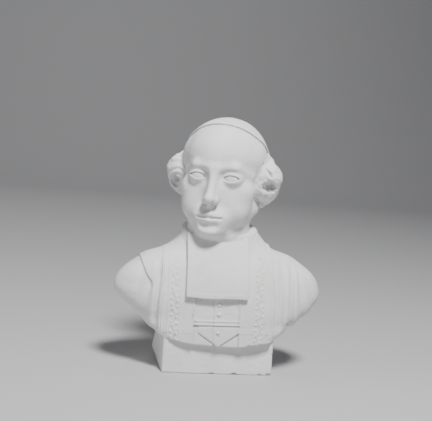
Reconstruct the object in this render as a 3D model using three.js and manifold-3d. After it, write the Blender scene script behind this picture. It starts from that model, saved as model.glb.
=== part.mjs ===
// A plaster bust of a churchman in skull cap, neck bands and embroidered stole, cast in one
// with the plain block that it stands on.
// Millimetres, +Z up, the chest towards -Y, origin in the middle of the block's underside.
import * as THREE from "three";
import { mergeVertices } from "three/addons/utils/BufferGeometryUtils.js";
import Module from "manifold-3d";

// Driving dimensions of the block and of the bust on it.
const BLOCK_WIDTH = 122.5;
const BLOCK_DEPTH = 80;
const BLOCK_TOP = 46;
const BLOCK_ROUND = 2;
const MIDLINE = -3.4;

// The bust sits a little askew on its block: its shift, turn and lean, in millimetres and degrees.
const BUST_SHIFT = [1.1, 0, 0.9];
const BUST_TURN = -2.8;
const BUST_LEAN = -1.9;

// Half-widths and half-depths of the draped shoulders, as [height, size] pairs.
const SHOULDER_WIDTH = [
  [28, 64.5], [38, 67.3], [45, 75.1], [54, 85], [63, 95.4], [71, 105.6], [80, 114.2], [90, 116.6],
  [103, 111.7], [115, 99.3], [126, 81.7], [133, 61.5], [142, 48.6], [153, 43], [168, 38.5],
];
const CHEST_DEPTH = [
  [28, 46.5], [60, 48.5], [90, 48], [115, 43], [130, 37], [145, 34], [168, 31],
];
const BACK_DEPTH = [
  [28, 38], [60, 42], [90, 44], [115, 40], [130, 34], [145, 30], [168, 27],
];
const SHOULDER_CENTRE = [
  [45, 2.3], [54, 2], [62, 4.4], [71, 3.6], [80, 2.3], [90, 0.6], [103, 0], [115, -0.4],
  [133, 2], [142, 1], [153, 1],
];
const SHOULDER_POWER = [[30, 5.2], [42, 4.4], [56, 3.2], [75, 2.5], [95, 2.25]];

// The underside's rim, which rises to both arms, as [x, height] pairs.
const RIM = [
  [-80, 53], [-70, 46], [-60, 40.5], [-43.5, 36.8], [-21.5, 32.8], [0, 31.1], [22, 31],
  [43.7, 34], [60, 36.6], [70, 42.6], [77, 50],
];

// The standing collar, whose rim slopes down from the nape to the throat.
const COLLAR_TOP = 157;
const COLLAR_SLOPE = 0.2;

// The cape's edge over the arm on one side, as [height, x] pairs, and its thickness.
const CAPE_EDGE = [[45, -80], [68, -78.2], [88, -75], [99, -73.7], [106, -78.8], [115, -83], [124, -87]];
const CAPE_THICKNESS = 2.4;

// The stole: one long band down both sides of the chest, joined round the back of the neck.
// Each stop holds a point of its inner edge and of its outer edge, by half from the midline.
const STOLE_STOPS = [
  [25, -50, 31.5, 62.5, -44, 37], [25, -50, 45, 63.5, -44, 45], [24.6, -50, 62, 63.5, -44, 62],
  [24.4, -50, 80, 63, -44, 80], [26, -48, 98, 61.5, -42, 98], [29, -42, 116, 60, -36, 114],
  [34, -32, 133, 58.5, -24, 127], [40, -16, 146, 58, -8, 134], [40, 6, 150, 58, 12, 131],
  [32, 22, 151, 52, 28, 120], [18, 28, 151, 36, 38, 104], [0, 30, 151, 0, 42, 92],
];
const STOLE_ROWS = 47;
const STOLE_RELIEF = 1.5;
const STOLE_CORD = 0.9;
// How much flatter it lies over the shoulder of one side, as a share of its relief.
const STOLE_FLATTER = 0.7;

// The bands: one stiff, nearly flat bib under the chin, hemmed at its sides and bottom.
const BIB_BOTTOM = [86, 84.4];
const BIB_TOP = 152;
const BIB_LEFT = [-37.6, -36.5];
const BIB_RIGHT = [29.6, 30];
const BIB_FRONT = [-55.5, -34];
const BIB_ACROSS = [0, 0.065, 0.077, 0.28, 0.5, 0.72, 0.923, 0.935, 1];
const BIB_UP = [0, 0.075, 0.09, 0.3, 0.53, 0.76, 1];
const BIB_HEM = 0.3;
// How much its face curves back to both sides, and how much more at its top, round the throat.
const BIB_CURVE = 0.0016;
const BIB_WRAP = 0.008;

// The buttoned front that shows between the stole's bands, with its pleated hem and its point.
const FRONT_LEFT = -28.6;
const FRONT_RIGHT = 21.8;
const FRONT_TOP = 91;
const PLACKET_X = -6.3;
const HEM_TOP = 59.3;
const HEM_BOTTOM = 55;
const POINT_X = -0.5;
const POINT_TIP = 31;
const POINT_SPREAD = 22;
const POINT_RISE = 15.8;
const BUTTON_X = -1.3;
const BUTTON_HEIGHTS = [77.5, 67.5, 47.2];
const BUTTON_RADIUS = 1.9;

// The head, in its own frame: origin at the eyes' level between the ears, face towards -Y.
// The face is drawn up on a head 121 high, with eyes at half its height, and scaled to this one.
const HEAD_CENTRE = new THREE.Vector3(3, -1, 214.5);
const HEAD_TURN = -20;
const HEAD_LEAN = 3;
const FACE_SCALE = 1.09;
const NECK_END = -79;
const EYE_X = 16.2;
const BROW = 8;
const NOSE_BASE = -27.5;
const NOSE_TIP = -61.5;
const MOUTH = -39;
const CHIN = -60;
const HAIR_DROP = 1.1;
const CURLS = [[48, 11, -18.5], [46, 10.5, -24], [41.5, 9, -28], [37, 8, -31.5]];
const CAP_THICKNESS = 1.6;
const CAP_EDGE = 28.7;
const CAP_TILT = 38;

// How finely the forms are sampled, and how many triangles are left of each.
const HEAD_GRID = 1.4;
const TORSO_GRID = 2.6;
const CAP_GRID = 3;
const HEAD_TRIANGLES = 4600;
const FACE_WEIGHT = 4;
const TORSO_TRIANGLES = 2400;
const CAP_TRIANGLES = 480;
const SHORTEST_EDGE = 0.05;

const clamp = (v, low, high) => Math.min(high, Math.max(low, v));
const smoothstep = (low, high, v) => {
  const t = clamp((v - low) / (high - low), 0, 1);
  return t * t * (3 - 2 * t);
};
const bump = (v, centre, halfWidth) => Math.exp(-(((v - centre) / halfWidth) ** 2));

// Joins two distance fields with a fillet of size k, or cuts with one.
function join(a, b, k) {
  const h = Math.max(k - Math.abs(a - b), 0) / k;
  return Math.min(a, b) - (h * h * k) / 4;
}
const meet = (a, b, k) => -join(-a, -b, k);
const carve = (a, b, k) => meet(a, -b, k);

// A smooth curve through [position, value] pairs.
function profile(pairs, at) {
  const last = pairs.length - 1;
  if (at <= pairs[0][0]) return pairs[0][1];
  if (at >= pairs[last][0]) return pairs[last][1];
  let i = 0;
  while (at > pairs[i + 1][0]) i++;
  const slope = (j) => {
    const a = pairs[Math.max(j - 1, 0)];
    const b = pairs[Math.min(j + 1, last)];
    return (b[1] - a[1]) / (b[0] - a[0]);
  };
  const span = pairs[i + 1][0] - pairs[i][0];
  const t = (at - pairs[i][0]) / span;
  const rise = pairs[i + 1][1] - pairs[i][1];
  const m0 = slope(i) * span;
  const m1 = slope(i + 1) * span;
  return pairs[i][1] + m0 * t + (3 * rise - 2 * m0 - m1) * t * t + (m0 + m1 - 2 * rise) * t ** 3;
}

// Distance fields of the simple forms, each near enough to true distance to blend well.
function ellipsoid(p, c, r) {
  const x = (p[0] - c[0]) / r[0];
  const y = (p[1] - c[1]) / r[1];
  const z = (p[2] - c[2]) / r[2];
  const k = Math.sqrt(x * x + y * y + z * z);
  const g = Math.sqrt((x / r[0]) ** 2 + (y / r[1]) ** 2 + (z / r[2]) ** 2);
  return g < 1e-9 ? -Math.min(...r) : (k * (k - 1)) / g;
}
function limb(p, a, b, ra, rb) {
  const d = [b[0] - a[0], b[1] - a[1], b[2] - a[2]];
  const q = [p[0] - a[0], p[1] - a[1], p[2] - a[2]];
  const along = (q[0] * d[0] + q[1] * d[1] + q[2] * d[2]) / (d[0] ** 2 + d[1] ** 2 + d[2] ** 2);
  const t = clamp(along, 0, 1);
  return Math.hypot(q[0] - t * d[0], q[1] - t * d[1], q[2] - t * d[2]) - (ra + t * (rb - ra));
}

// How far the plain clothes stand out from the form of the shoulders, in front and behind.
function drapery(x, y, z) {
  const hang = smoothstep(40, 60, z) * (1 - smoothstep(106, 124, z)) * (1 - smoothstep(-12, 4, y));
  const soft = 0.9 + 1.6 * smoothstep(100, 84, z);
  const cape = CAPE_THICKNESS * smoothstep(-soft, soft, x - profile(CAPE_EDGE, z));
  const left = cape - CAPE_THICKNESS - 2.2 * hang * bump(x, -67.5 + 0.06 * (z - 80), 3)
    + 1.6 * hang * bump(x, -72.5 + 0.05 * (z - 80), 2.6);
  const right = hang * (1.7 * bump(x, 74, 3) - 1.9 * bump(x, 79.5, 2.6) + 1.4 * bump(x, 85, 3)
    - 1.6 * bump(x, 91 - 0.1 * (z - 80), 3.4) - 2.2 * bump(x, 67, 2.6));
  const arms = 2.2 * bump(Math.abs(x), 92, 17) * hang;
  return arms + (x < 0 ? left : right);
}

// The draped shoulders, from the flat underside to the collar's sloping rim.
function torso(x, y, z) {
  const depths = y < 0 ? CHEST_DEPTH : BACK_DEPTH;
  const width = profile(SHOULDER_WIDTH, z);
  const depth = profile(depths, z);
  const power = profile(SHOULDER_POWER, z);
  const u = Math.abs(x - profile(SHOULDER_CENTRE, z)) / width;
  const v = Math.abs(y) / depth;
  const around = Math.max((u ** power + v ** power) ** (1 / power), 0.05);
  const widening = (profile(SHOULDER_WIDTH, z + 0.5) - profile(SHOULDER_WIDTH, z - 0.5)) / width;
  const deepening = (profile(depths, z + 0.5) - profile(depths, z - 0.5)) / depth;
  const slope = Math.hypot(
    u ** (power - 1) / width, v ** (power - 1) / depth, u ** power * widening + v ** power * deepening,
  ) * around ** (1 - power);
  const body = (around - 1) / Math.max(slope, 0.008) - drapery(x, y, z);
  const notch = limb([x, y, z], [73.5, -37, 57], [84, -34, 51], 3, 2.2);
  const rim = z - COLLAR_TOP - COLLAR_SLOPE * y;
  return carve(meet(meet(body, profile(RIM, x) - z, 1.5), rim, 1.5), notch, 1);
}

// The face's ground: brow, cheeks, jaw and throat. Forms off the middle come as mirrored pairs.
function faceGround(q) {
  let d = ellipsoid(q, [0, -10, 19], [36, 37, 33]);
  d = join(d, ellipsoid(q, [0, -7, -12], [35.5, 38, 38]), 9);
  d = join(d, ellipsoid(q, [24, -25, -13], [12, 12, 11]), 10);
  d = join(d, ellipsoid(q, [16.5, -24, -31], [17.5, 17, 17]), 10);
  d = join(d, limb(q, [30, 2, -30], [8, -32, -49], 9, 8.5), 10);
  d = join(d, ellipsoid(q, [0, -39.5, CHIN + 9], [13, 13, 9]), 8);
  return join(d, ellipsoid(q, [0, -14, CHIN + 1], [27, 22, 13]), 9);
}

function cranium(q) {
  return ellipsoid(q, [0, 8, 19.5], [44, 50, 43]);
}

function neck(q) {
  return limb(q, [5, 1, -50], [5, -1, -85], 29, 32);
}

function brow(q, d) {
  d = join(d, limb(q, [4, -44.2, BROW], [19, -39.6, BROW + 2], 3.2, 2.8), 7);
  d = join(d, limb(q, [19, -39.6, BROW + 2], [32, -21, BROW - 5], 2.8, 2), 7);
  return carve(d, ellipsoid(q, [EYE_X, -50.5, 0.5], [12, 9, 7.5]), 6);
}

// An eyeball under two lids that leave an almond between them.
function eye(q, d) {
  const centre = [EYE_X, -34.8, -0.5];
  const u = (q[0] - EYE_X) / 8.6;
  const open = Math.max(0, 1 - u * u);
  const above = q[2] - 3.4 * open ** 0.75 - 0.6 * u;
  const below = -2.9 * open + 0.3 * u - q[2];
  const lids = carve(ellipsoid(q, centre, [11.2, 10.4, 9.8]), Math.max(above, below), 0.6);
  d = join(d, lids, 2.5);
  d = join(d, ellipsoid(q, centre, [9.4, 8.9, 8.9]), 0.3);
  return carve(d, limb(q, [12, -47.5, 6.6], [22, -46, 6], 1, 0.8), 2);
}

function nose(q, d) {
  d = join(d, limb(q, [0, -43.8, 8], [0, NOSE_TIP + 8.6, -14], 3.3, 3.6), 7);
  d = join(d, limb(q, [0, -38, -2], [0, -46, -19], 5.4, 6.6), 6);
  d = join(d, ellipsoid(q, [0, NOSE_TIP + 5, -20.5], [4.9, 5, 4.7]), 5);
  d = join(d, ellipsoid(q, [5, -50.3, -22.2], [3.3, 5.2, 4]), 2.5);
  d = join(d, limb(q, [0, NOSE_TIP + 5.6, -23.5], [0, -49, NOSE_BASE + 1], 1.9, 2.6), 2.5);
  return carve(d, ellipsoid(q, [3.4, -53, NOSE_BASE + 0.8], [1.7, 3.2, 1.8]), 1.2);
}

function lips(q, d) {
  d = join(d, ellipsoid(q, [0, -38.8, MOUTH - 0.5], [17, 12.5, 11]), 8);
  d = join(d, limb(q, [1.6, -49.8, MOUTH + 2.7], [12, -45.6, MOUTH + 0.8], 2.7, 1.3), 2.5);
  d = join(d, limb(q, [0, -49.7, MOUTH - 3.2], [9.5, -46.4, MOUTH - 2], 3.5, 1.9), 2.5);
  d = carve(d, limb(q, [0, -52.7, MOUTH], [13, -47.6, MOUTH - 0.2], 1.2, 1), 1.2);
  d = carve(d, limb(q, [0, -53.4, MOUTH - 9.6], [7, -51, MOUTH - 9], 3, 2.2), 5);
  return carve(d, limb(q, [0, -53.6, NOSE_BASE - 2.5], [0, -54.9, MOUTH + 6.8], 1.4, 1.5), 2);
}

// An ear, of which the hair leaves the middle bare.
function ear(q, d) {
  let form = ellipsoid(q, [43, 5, -12], [6, 9, 13]);
  form = carve(form, ellipsoid(q, [48.5, 2.5, -12], [5.4, 5.6, 8.5]), 1.5);
  return join(d, form, 2);
}

// The close hair of a temple, between the bare forehead and the cap.
function temple(q) {
  return ellipsoid(q, [32.5, -4, 21.5], [12.5, 17.5, 17]);
}

// Wavy hair: full puffs over the ears, whose locks wind round a hollow, and short hair behind.
// One puff hangs a little lower, with a narrower hollow; the other has a groove above its own.
function hair(p, q, d) {
  const isLow = p[0] < 0;
  const s = isLow ? [q[0], q[1], q[2] + HAIR_DROP] : q;
  let puff = ellipsoid(s, [47.5, 1, 2.5], [18, 17, 17.5]);
  puff = join(puff, ellipsoid(s, [41, 12, 16.5], [11.5, 14, 12]), 8);
  puff = join(puff, ellipsoid(s, [47, 8, -13], [14.5, 14, 11.5]), 8);
  puff = join(puff, ellipsoid(q, [42, -5, -9], [8, 9, 11]), 6);
  const winding = Math.hypot(q[0] - 50, q[2] + 8) - 0.4 * q[1];
  puff -= (isLow ? 0.5 : 0.3) * Math.cos((2 * Math.PI * winding) / 6.5);
  const lowHollow = ellipsoid(q, [52.5, -12, -12.5], [6.5, 12, 7.5]);
  const highHollow = ellipsoid(q, [55.5, -13, -7], [8, 13, 6.5]);
  puff = carve(puff, isLow ? lowHollow : highHollow, 3);
  if (!isLow) puff = carve(puff, limb(q, [45, -12.9, 17.5], [55, -14.8, 5.5], 1.3, 2.1), 1.5);
  const shell = ellipsoid(q, [0, 12, 10], [47.5, 48.5, 46]);
  let back = meet(shell, 6 - 0.25 * q[2] - q[1], 4);
  const turn = Math.atan2(q[1] - 12, p[0]);
  back -= 0.9 * Math.cos(14 * turn + 1.3 * Math.sin(p[2] / 5)) * Math.cos(p[2] / 9);
  back = meet(back, -42 - q[2], 5);
  return join(join(join(d, temple(q), 9), back, 3), puff, 4);
}

// Small curls that trail down behind the jaw.
function curls(q, d) {
  CURLS.forEach((centre, i) => {
    d = join(d, ellipsoid(q, centre, [7.5 - 0.6 * i, 7.5, 4.8 - 0.2 * i]), 1.8);
  });
  return d;
}

function head(x, y, z) {
  const p = [x, y, z];
  const q = [Math.abs(x), y, z];
  const f = q.map((v) => v / FACE_SCALE);
  const face = FACE_SCALE * lips(f, nose(f, eye(f, brow(f, faceGround(f)))));
  const bare = join(join(face, cranium(q), 9), neck(q), 9);
  const d = hair(p, q, curls(q, ear(q, bare)));
  return meet(d, NECK_END - z, 1);
}

// The skull cap before its edge is cut: the skull and the hair under it, a little thicker.
function capForm(x, y, z) {
  const q = [Math.abs(x), y, z];
  const f = q.map((v) => v / FACE_SCALE);
  const bare = join(FACE_SCALE * faceGround(f), cranium(q), 9);
  const covered = join(bare, temple(q), 9);
  const crown = join(covered, ellipsoid(q, [0, 12, 10], [47.5, 48.5, 46]), 3);
  return meet(crown, -20 - z, 3) - CAP_THICKNESS;
}

// Evenly spaced grid lines from low to high.
function gridLines(low, high, step) {
  const count = Math.ceil((high - low) / step);
  return Array.from({ length: count + 1 }, (_, i) => low + i * step);
}

// Whether the chosen corners of a cell, one bit each, hang together along its edges.
function hangsTogether(chosen) {
  let seen = chosen & -chosen;
  let before = 0;
  while (before !== seen) {
    before = seen;
    for (let n = 0; n < 8; n++)
      if ((seen >> n) & 1)
        for (const bit of [1, 2, 4]) seen |= chosen & (1 << (n ^ bit));
  }
  return seen === chosen;
}

// Fills the grid points where the form would touch itself along a mere edge or at a point.
function closePinches(value, size, index) {
  for (let changed = true; changed;) {
    changed = false;
    for (let k = 0; k + 1 < size[2]; k++)
      for (let j = 0; j + 1 < size[1]; j++)
        for (let i = 0; i + 1 < size[0]; i++) {
          const corners = [0, 1, 2, 3, 4, 5, 6, 7]
            .map((n) => index(i + (n & 1), j + ((n >> 1) & 1), k + (n >> 2)));
          const inside = corners.reduce((bits, c, n) => bits | ((value[c] < 0 ? 1 : 0) << n), 0);
          if (hangsTogether(inside) && hangsTogether(255 - inside)) continue;
          const outside = corners.filter((c) => value[c] >= 0);
          const nearest = outside.reduce((a, b) => (value[a] <= value[b] ? a : b));
          value[nearest] = -0.001;
          changed = true;
        }
  }
}

// The surface where a field is zero: one vertex in each grid cell that it crosses, slid on to
// the surface, and one quad round each grid edge that it crosses.
function sculpt(field, xs, ys, zs) {
  const size = [xs.length, ys.length, zs.length];
  const index = (i, j, k) => (k * size[1] + j) * size[0] + i;
  const value = new Float64Array(size[0] * size[1] * size[2]);
  for (let k = 0; k < size[2]; k++)
    for (let j = 0; j < size[1]; j++)
      for (let i = 0; i < size[0]; i++) value[index(i, j, k)] = field(xs[i], ys[j], zs[k]);
  closePinches(value, size, index);
  const positions = [];
  const vertexOf = new Int32Array(value.length).fill(-1);
  for (let k = 0; k + 1 < size[2]; k++)
    for (let j = 0; j + 1 < size[1]; j++)
      for (let i = 0; i + 1 < size[0]; i++) {
        const vertex = cellVertex(field, value, index, [i, j, k], [xs, ys, zs]);
        if (!vertex) continue;
        vertexOf[index(i, j, k)] = positions.length / 3;
        positions.push(...vertex);
      }
  const faces = [];
  const quad = (a, b, c, d, flip) => {
    const side = (i, j) => Math.hypot(
      positions[3 * i] - positions[3 * j],
      positions[3 * i + 1] - positions[3 * j + 1],
      positions[3 * i + 2] - positions[3 * j + 2],
    );
    const ring = flip ? [a, d, c, b] : [a, b, c, d];
    if (side(ring[0], ring[2]) <= side(ring[1], ring[3]))
      faces.push(ring[0], ring[1], ring[2], ring[0], ring[2], ring[3]);
    else faces.push(ring[1], ring[2], ring[3], ring[1], ring[3], ring[0]);
  };
  for (let k = 1; k + 1 < size[2]; k++)
    for (let j = 1; j + 1 < size[1]; j++)
      for (let i = 1; i + 1 < size[0]; i++) {
        const inside = value[index(i, j, k)] < 0;
        const cell = (a, b, c) => vertexOf[index(i - a, j - b, k - c)];
        if (inside !== value[index(i + 1, j, k)] < 0)
          quad(cell(0, 1, 1), cell(0, 0, 1), cell(0, 0, 0), cell(0, 1, 0), !inside);
        if (inside !== value[index(i, j + 1, k)] < 0)
          quad(cell(1, 0, 1), cell(1, 0, 0), cell(0, 0, 0), cell(0, 0, 1), !inside);
        if (inside !== value[index(i, j, k + 1)] < 0)
          quad(cell(1, 1, 0), cell(0, 1, 0), cell(0, 0, 0), cell(1, 0, 0), !inside);
      }
  const geometry = new THREE.BufferGeometry();
  geometry.setAttribute("position", new THREE.Float32BufferAttribute(positions, 3));
  geometry.setIndex(faces);
  return geometry;
}

// The mean of a cell's edge crossings, moved along the field's slope on to its zero surface.
function cellVertex(field, value, index, [i, j, k], [xs, ys, zs]) {
  const corner = (n) => {
    const a = n & 1;
    const b = (n >> 1) & 1;
    const c = n >> 2;
    return { at: [xs[i + a], ys[j + b], zs[k + c]], v: value[index(i + a, j + b, k + c)] };
  };
  const sum = [0, 0, 0];
  let crossings = 0;
  for (let n = 0; n < 8; n++)
    for (const bit of [1, 2, 4]) {
      if (n & bit) continue;
      const p = corner(n);
      const q = corner(n | bit);
      if (p.v < 0 === q.v < 0) continue;
      const t = p.v / (p.v - q.v);
      for (let axis = 0; axis < 3; axis++) sum[axis] += p.at[axis] + t * (q.at[axis] - p.at[axis]);
      crossings++;
    }
  if (!crossings) return null;
  const at = sum.map((s) => s / crossings);
  const low = [xs[i], ys[j], zs[k]];
  const high = [xs[i + 1], ys[j + 1], zs[k + 1]];
  const reach = 0.02;
  for (let step = 0; step < 4; step++) {
    const v = field(...at);
    const slope = [0, 1, 2].map((axis) => {
      const beside = [...at];
      beside[axis] += reach;
      return (field(...beside) - v) / reach;
    });
    const steep = slope[0] ** 2 + slope[1] ** 2 + slope[2] ** 2;
    if (steep < 1e-6) break;
    for (let axis = 0; axis < 3; axis++) {
      const margin = 0.04 * (high[axis] - low[axis]);
      const moved = at[axis] - (0.8 * v * slope[axis]) / steep;
      at[axis] = clamp(moved, low[axis] + margin, high[axis] - margin);
    }
  }
  return at;
}

// The squared distance from the plane of a triangle, times its area, as ten coefficients.
function planeQuadric(a, b, c) {
  const normal = new THREE.Vector3().subVectors(b, a).cross(new THREE.Vector3().subVectors(c, a));
  const area = normal.length() / 2;
  if (area < 1e-9) return new Float64Array(10);
  const { x, y, z } = normal.divideScalar(2 * area);
  const w = -normal.dot(a);
  return Float64Array.of(x * x, x * y, x * z, x * w, y * y, y * z, y * w, z * z, z * w, w * w)
    .map((coefficient) => coefficient * area);
}

function quadricError(q, { x, y, z }) {
  return q[0] * x * x + 2 * q[1] * x * y + 2 * q[2] * x * z + 2 * q[3] * x + q[4] * y * y
    + 2 * q[5] * y * z + 2 * q[6] * y + q[7] * z * z + 2 * q[8] * z + q[9];
}

// The point of least error, or the middle of the edge where the surface is too flat to tell.
function bestPoint(q, a, b) {
  const middle = new THREE.Vector3().addVectors(a, b).divideScalar(2);
  const slopes = new THREE.Matrix3().set(q[0], q[1], q[2], q[1], q[4], q[5], q[2], q[5], q[7]);
  const scale = (q[0] + q[4] + q[7]) / 3;
  if (Math.abs(slopes.determinant()) < 1e-3 * scale ** 3) return middle;
  const best = new THREE.Vector3(-q[3], -q[6], -q[8]).applyMatrix3(slopes.invert());
  return best.distanceTo(middle) < a.distanceTo(b) ? best : middle;
}

// A closed mesh whose edges can be collapsed one by one.
function collapsible(geometry) {
  const at = geometry.attributes.position;
  const points = Array.from({ length: at.count }, (_, i) => new THREE.Vector3().fromBufferAttribute(at, i));
  const faces = [];
  for (let i = 0; i < geometry.index.count; i += 3)
    faces.push([0, 1, 2].map((corner) => geometry.index.getX(i + corner)));
  const around = points.map(() => new Set());
  faces.forEach((face, f) => face.forEach((v) => around[v].add(f)));
  const neighbours = (v) => new Set([...around[v]].flatMap((f) => faces[f]).filter((w) => w !== v));
  const merge = (a, b, to) => {
    const nearB = neighbours(b);
    if ([...neighbours(a)].filter((v) => nearB.has(v)).length !== 2) return false;
    points[a] = to;
    for (const f of around[b]) {
      if (faces[f].includes(a)) {
        for (const v of faces[f]) if (v !== b) around[v].delete(f);
        faces[f] = null;
      } else {
        faces[f] = faces[f].map((v) => (v === b ? a : v));
        around[a].add(f);
      }
    }
    around[b].clear();
    return true;
  };
  const finished = () => {
    const kept = new THREE.BufferGeometry();
    kept.setAttribute("position", new THREE.Float32BufferAttribute(points.flatMap((v) => v.toArray()), 3));
    kept.setIndex(faces.filter(Boolean).flat());
    return kept;
  };
  return { points, faces, around, merge, finished };
}

// Thins a closed mesh to a number of triangles: edges collapse where that costs least, and a
// weight above one keeps the mesh finer around a point.
function simplify(geometry, target, weight = () => 1) {
  const { points, faces, around, merge, finished } = collapsible(geometry);
  const quadrics = points.map(() => new Float64Array(10));
  for (const face of faces) {
    const heavy = weight(points[face[0]]);
    const quadric = planeQuadric(...face.map((v) => points[v])).map((coefficient) => coefficient * heavy);
    for (const v of face) quadric.forEach((coefficient, i) => (quadrics[v][i] += coefficient));
  }
  const turnsOver = (moved, other, to) => [...around[moved]].some((f) => {
    if (faces[f].includes(other)) return false;
    const before = new THREE.Triangle(...faces[f].map((v) => points[v]));
    const after = new THREE.Triangle(...faces[f].map((v) => (v === moved ? to : points[v])));
    const facing = before.getNormal(new THREE.Vector3()).dot(after.getNormal(new THREE.Vector3()));
    const longest = Math.max(
      after.a.distanceTo(after.b), after.b.distanceTo(after.c), after.c.distanceTo(after.a),
    );
    return facing < 0.5 || after.getArea() < 0.04 * longest ** 2;
  });
  const collapse = (a, b, allowed) => {
    const quadric = quadrics[a].map((coefficient, i) => coefficient + quadrics[b][i]);
    const to = bestPoint(quadric, points[a], points[b]);
    if (quadricError(quadric, to) > allowed) return false;
    if (turnsOver(a, b, to) || turnsOver(b, a, to) || !merge(a, b, to)) return false;
    quadrics[a] = quadric;
    return true;
  };
  let left = faces.length;
  for (let allowed = 1e-3; left > target && allowed < 100; allowed *= 1.3)
    for (let f = 0; f < faces.length && left > target; f++)
      for (let edge = 0; faces[f] && edge < 3; edge++)
        if (collapse(faces[f][edge], faces[f][(edge + 1) % 3], allowed)) left -= 2;
  return finished();
}

// Collapses the edges that are too short to matter, as joining leaves them.
function dropShortEdges(geometry, shortest) {
  const { points, faces, merge, finished } = collapsible(geometry);
  for (let changed = true; changed;) {
    changed = false;
    for (let f = 0; f < faces.length; f++)
      for (let edge = 0; faces[f] && edge < 3; edge++) {
        const a = faces[f][edge];
        const b = faces[f][(edge + 1) % 3];
        if (points[a].distanceTo(points[b]) < shortest && merge(a, b, points[a])) changed = true;
      }
  }
  return finished();
}

const wasm = await Module();
wasm.setup();

// A closed geometry, placed by a matrix, as a solid for joining.
function toSolid(geometry, matrix = new THREE.Matrix4()) {
  const bare = geometry.clone();
  bare.deleteAttribute("normal");
  bare.deleteAttribute("uv");
  bare.applyMatrix4(matrix);
  const merged = mergeVertices(bare, 1e-4);
  return new wasm.Manifold(new wasm.Mesh({
    numProp: 3,
    vertProperties: merged.attributes.position.array,
    triVerts: new Uint32Array(merged.index.array),
  }));
}

function toGeometry(solid) {
  const mesh = solid.getMesh();
  const geometry = new THREE.BufferGeometry();
  geometry.setAttribute("position", new THREE.BufferAttribute(new Float32Array(mesh.vertProperties), 3));
  geometry.setIndex(new THREE.BufferAttribute(new Uint32Array(mesh.triVerts), 1));
  return geometry;
}

// A closed slab: a lattice of outer points, the same lattice of inner points, and its rim.
function slab(rows, columns, outer, inner) {
  const points = [];
  for (const point of [outer, inner])
    for (let r = 0; r < rows; r++)
      for (let c = 0; c < columns; c++) points.push(...point(r, c));
  const at = (side, r, c) => (side * rows + r) * columns + c;
  const faces = [];
  const quad = (a, b, c, d) => faces.push(a, b, c, a, c, d);
  for (let r = 0; r + 1 < rows; r++)
    for (let c = 0; c + 1 < columns; c++) {
      quad(at(0, r, c), at(0, r, c + 1), at(0, r + 1, c + 1), at(0, r + 1, c));
      quad(at(1, r, c), at(1, r + 1, c), at(1, r + 1, c + 1), at(1, r, c + 1));
    }
  for (let r = 0; r + 1 < rows; r++) {
    quad(at(0, r, 0), at(0, r + 1, 0), at(1, r + 1, 0), at(1, r, 0));
    quad(at(0, r + 1, columns - 1), at(0, r, columns - 1), at(1, r, columns - 1), at(1, r + 1, columns - 1));
  }
  for (let c = 0; c + 1 < columns; c++) {
    quad(at(0, 0, c + 1), at(0, 0, c), at(1, 0, c), at(1, 0, c + 1));
    quad(at(0, rows - 1, c), at(0, rows - 1, c + 1), at(1, rows - 1, c + 1), at(1, rows - 1, c));
  }
  const geometry = new THREE.BufferGeometry();
  geometry.setAttribute("position", new THREE.Float32BufferAttribute(points, 3));
  geometry.setIndex(faces);
  return geometry;
}

// The way straight out of the torso at a point.
function outward(at) {
  const reach = 0.05;
  const v = torso(...at);
  return new THREE.Vector3(
    torso(at[0] + reach, at[1], at[2]) - v,
    torso(at[0], at[1] + reach, at[2]) - v,
    torso(at[0], at[1], at[2] + reach) - v,
  ).divideScalar(reach);
}

// A rough point, moved on to the torso's surface and then lifted off it.
function onTorso(rough, lift) {
  const at = rough.clone();
  let way = outward(at.toArray());
  for (let step = 0; step < 12; step++) {
    at.addScaledVector(way, (-0.8 * torso(...at.toArray())) / way.lengthSq());
    way = outward(at.toArray());
  }
  return at.addScaledVector(way.normalize(), lift).toArray();
}

// The chest's front surface at a place, found by halving, with a lift towards the front.
function onChest(x, z, lift) {
  let outside = -80;
  let inside = -2;
  for (let step = 0; step < 30; step++) {
    const middle = (outside + inside) / 2;
    if (torso(x, middle, z) > 0) outside = middle;
    else inside = middle;
  }
  return [x, inside - lift, z];
}

// The stole's thickness across its width, from the inner edge: plain cloth, a sprig strip with
// a cord to each side, and a border of two cords.
const STOLE_ACROSS = [
  [0, 0], [0.35, 0], [0.38, 0.6], [0.42, 0], [0.55, 1], [0.68, 0], [0.72, 0.6], [0.76, 0],
  [0.84, 0], [0.87, 1], [0.91, 0.2], [0.95, 1], [1, 0.6],
];

function stoleGeometry() {
  const stops = STOLE_STOPS.map(([xi, yi, zi, xo, yo, zo]) => (
    { inner: new THREE.Vector3(xi, yi, zi), outer: new THREE.Vector3(xo, yo, zo) }
  ));
  const flip = (v) => new THREE.Vector3(-v.x, v.y, v.z);
  const rest = stops.slice(0, -1).reverse();
  const path = [...stops, ...rest.map((s) => ({ inner: flip(s.inner), outer: flip(s.outer) }))];
  const inner = new THREE.CatmullRomCurve3(path.map((s) => s.inner));
  const outer = new THREE.CatmullRomCurve3(path.map((s) => s.outer));
  const point = (r, c, lift) => {
    const along = r / (STOLE_ROWS - 1);
    const [across] = STOLE_ACROSS[c];
    const rough = inner.getPoint(along).lerp(outer.getPoint(along), across);
    rough.x += MIDLINE;
    return onTorso(rough, lift);
  };
  const height = (r, c) => {
    const isSprig = STOLE_ACROSS[c][0] === 0.55;
    const waver = isSprig ? 0.35 + 0.65 * (r % 2) : 1;
    return STOLE_RELIEF + STOLE_CORD * STOLE_ACROSS[c][1] * waver;
  };
  const outside = (r, c) => {
    const [x, , z] = point(r, c, 0);
    const flatter = x < 0 ? STOLE_FLATTER * smoothstep(114, 126, z) : 0;
    return point(r, c, height(r, c) * (1 - flatter));
  };
  return slab(STOLE_ROWS, STOLE_ACROSS.length, outside, (r, c) => point(r, c, -2));
}

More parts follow.
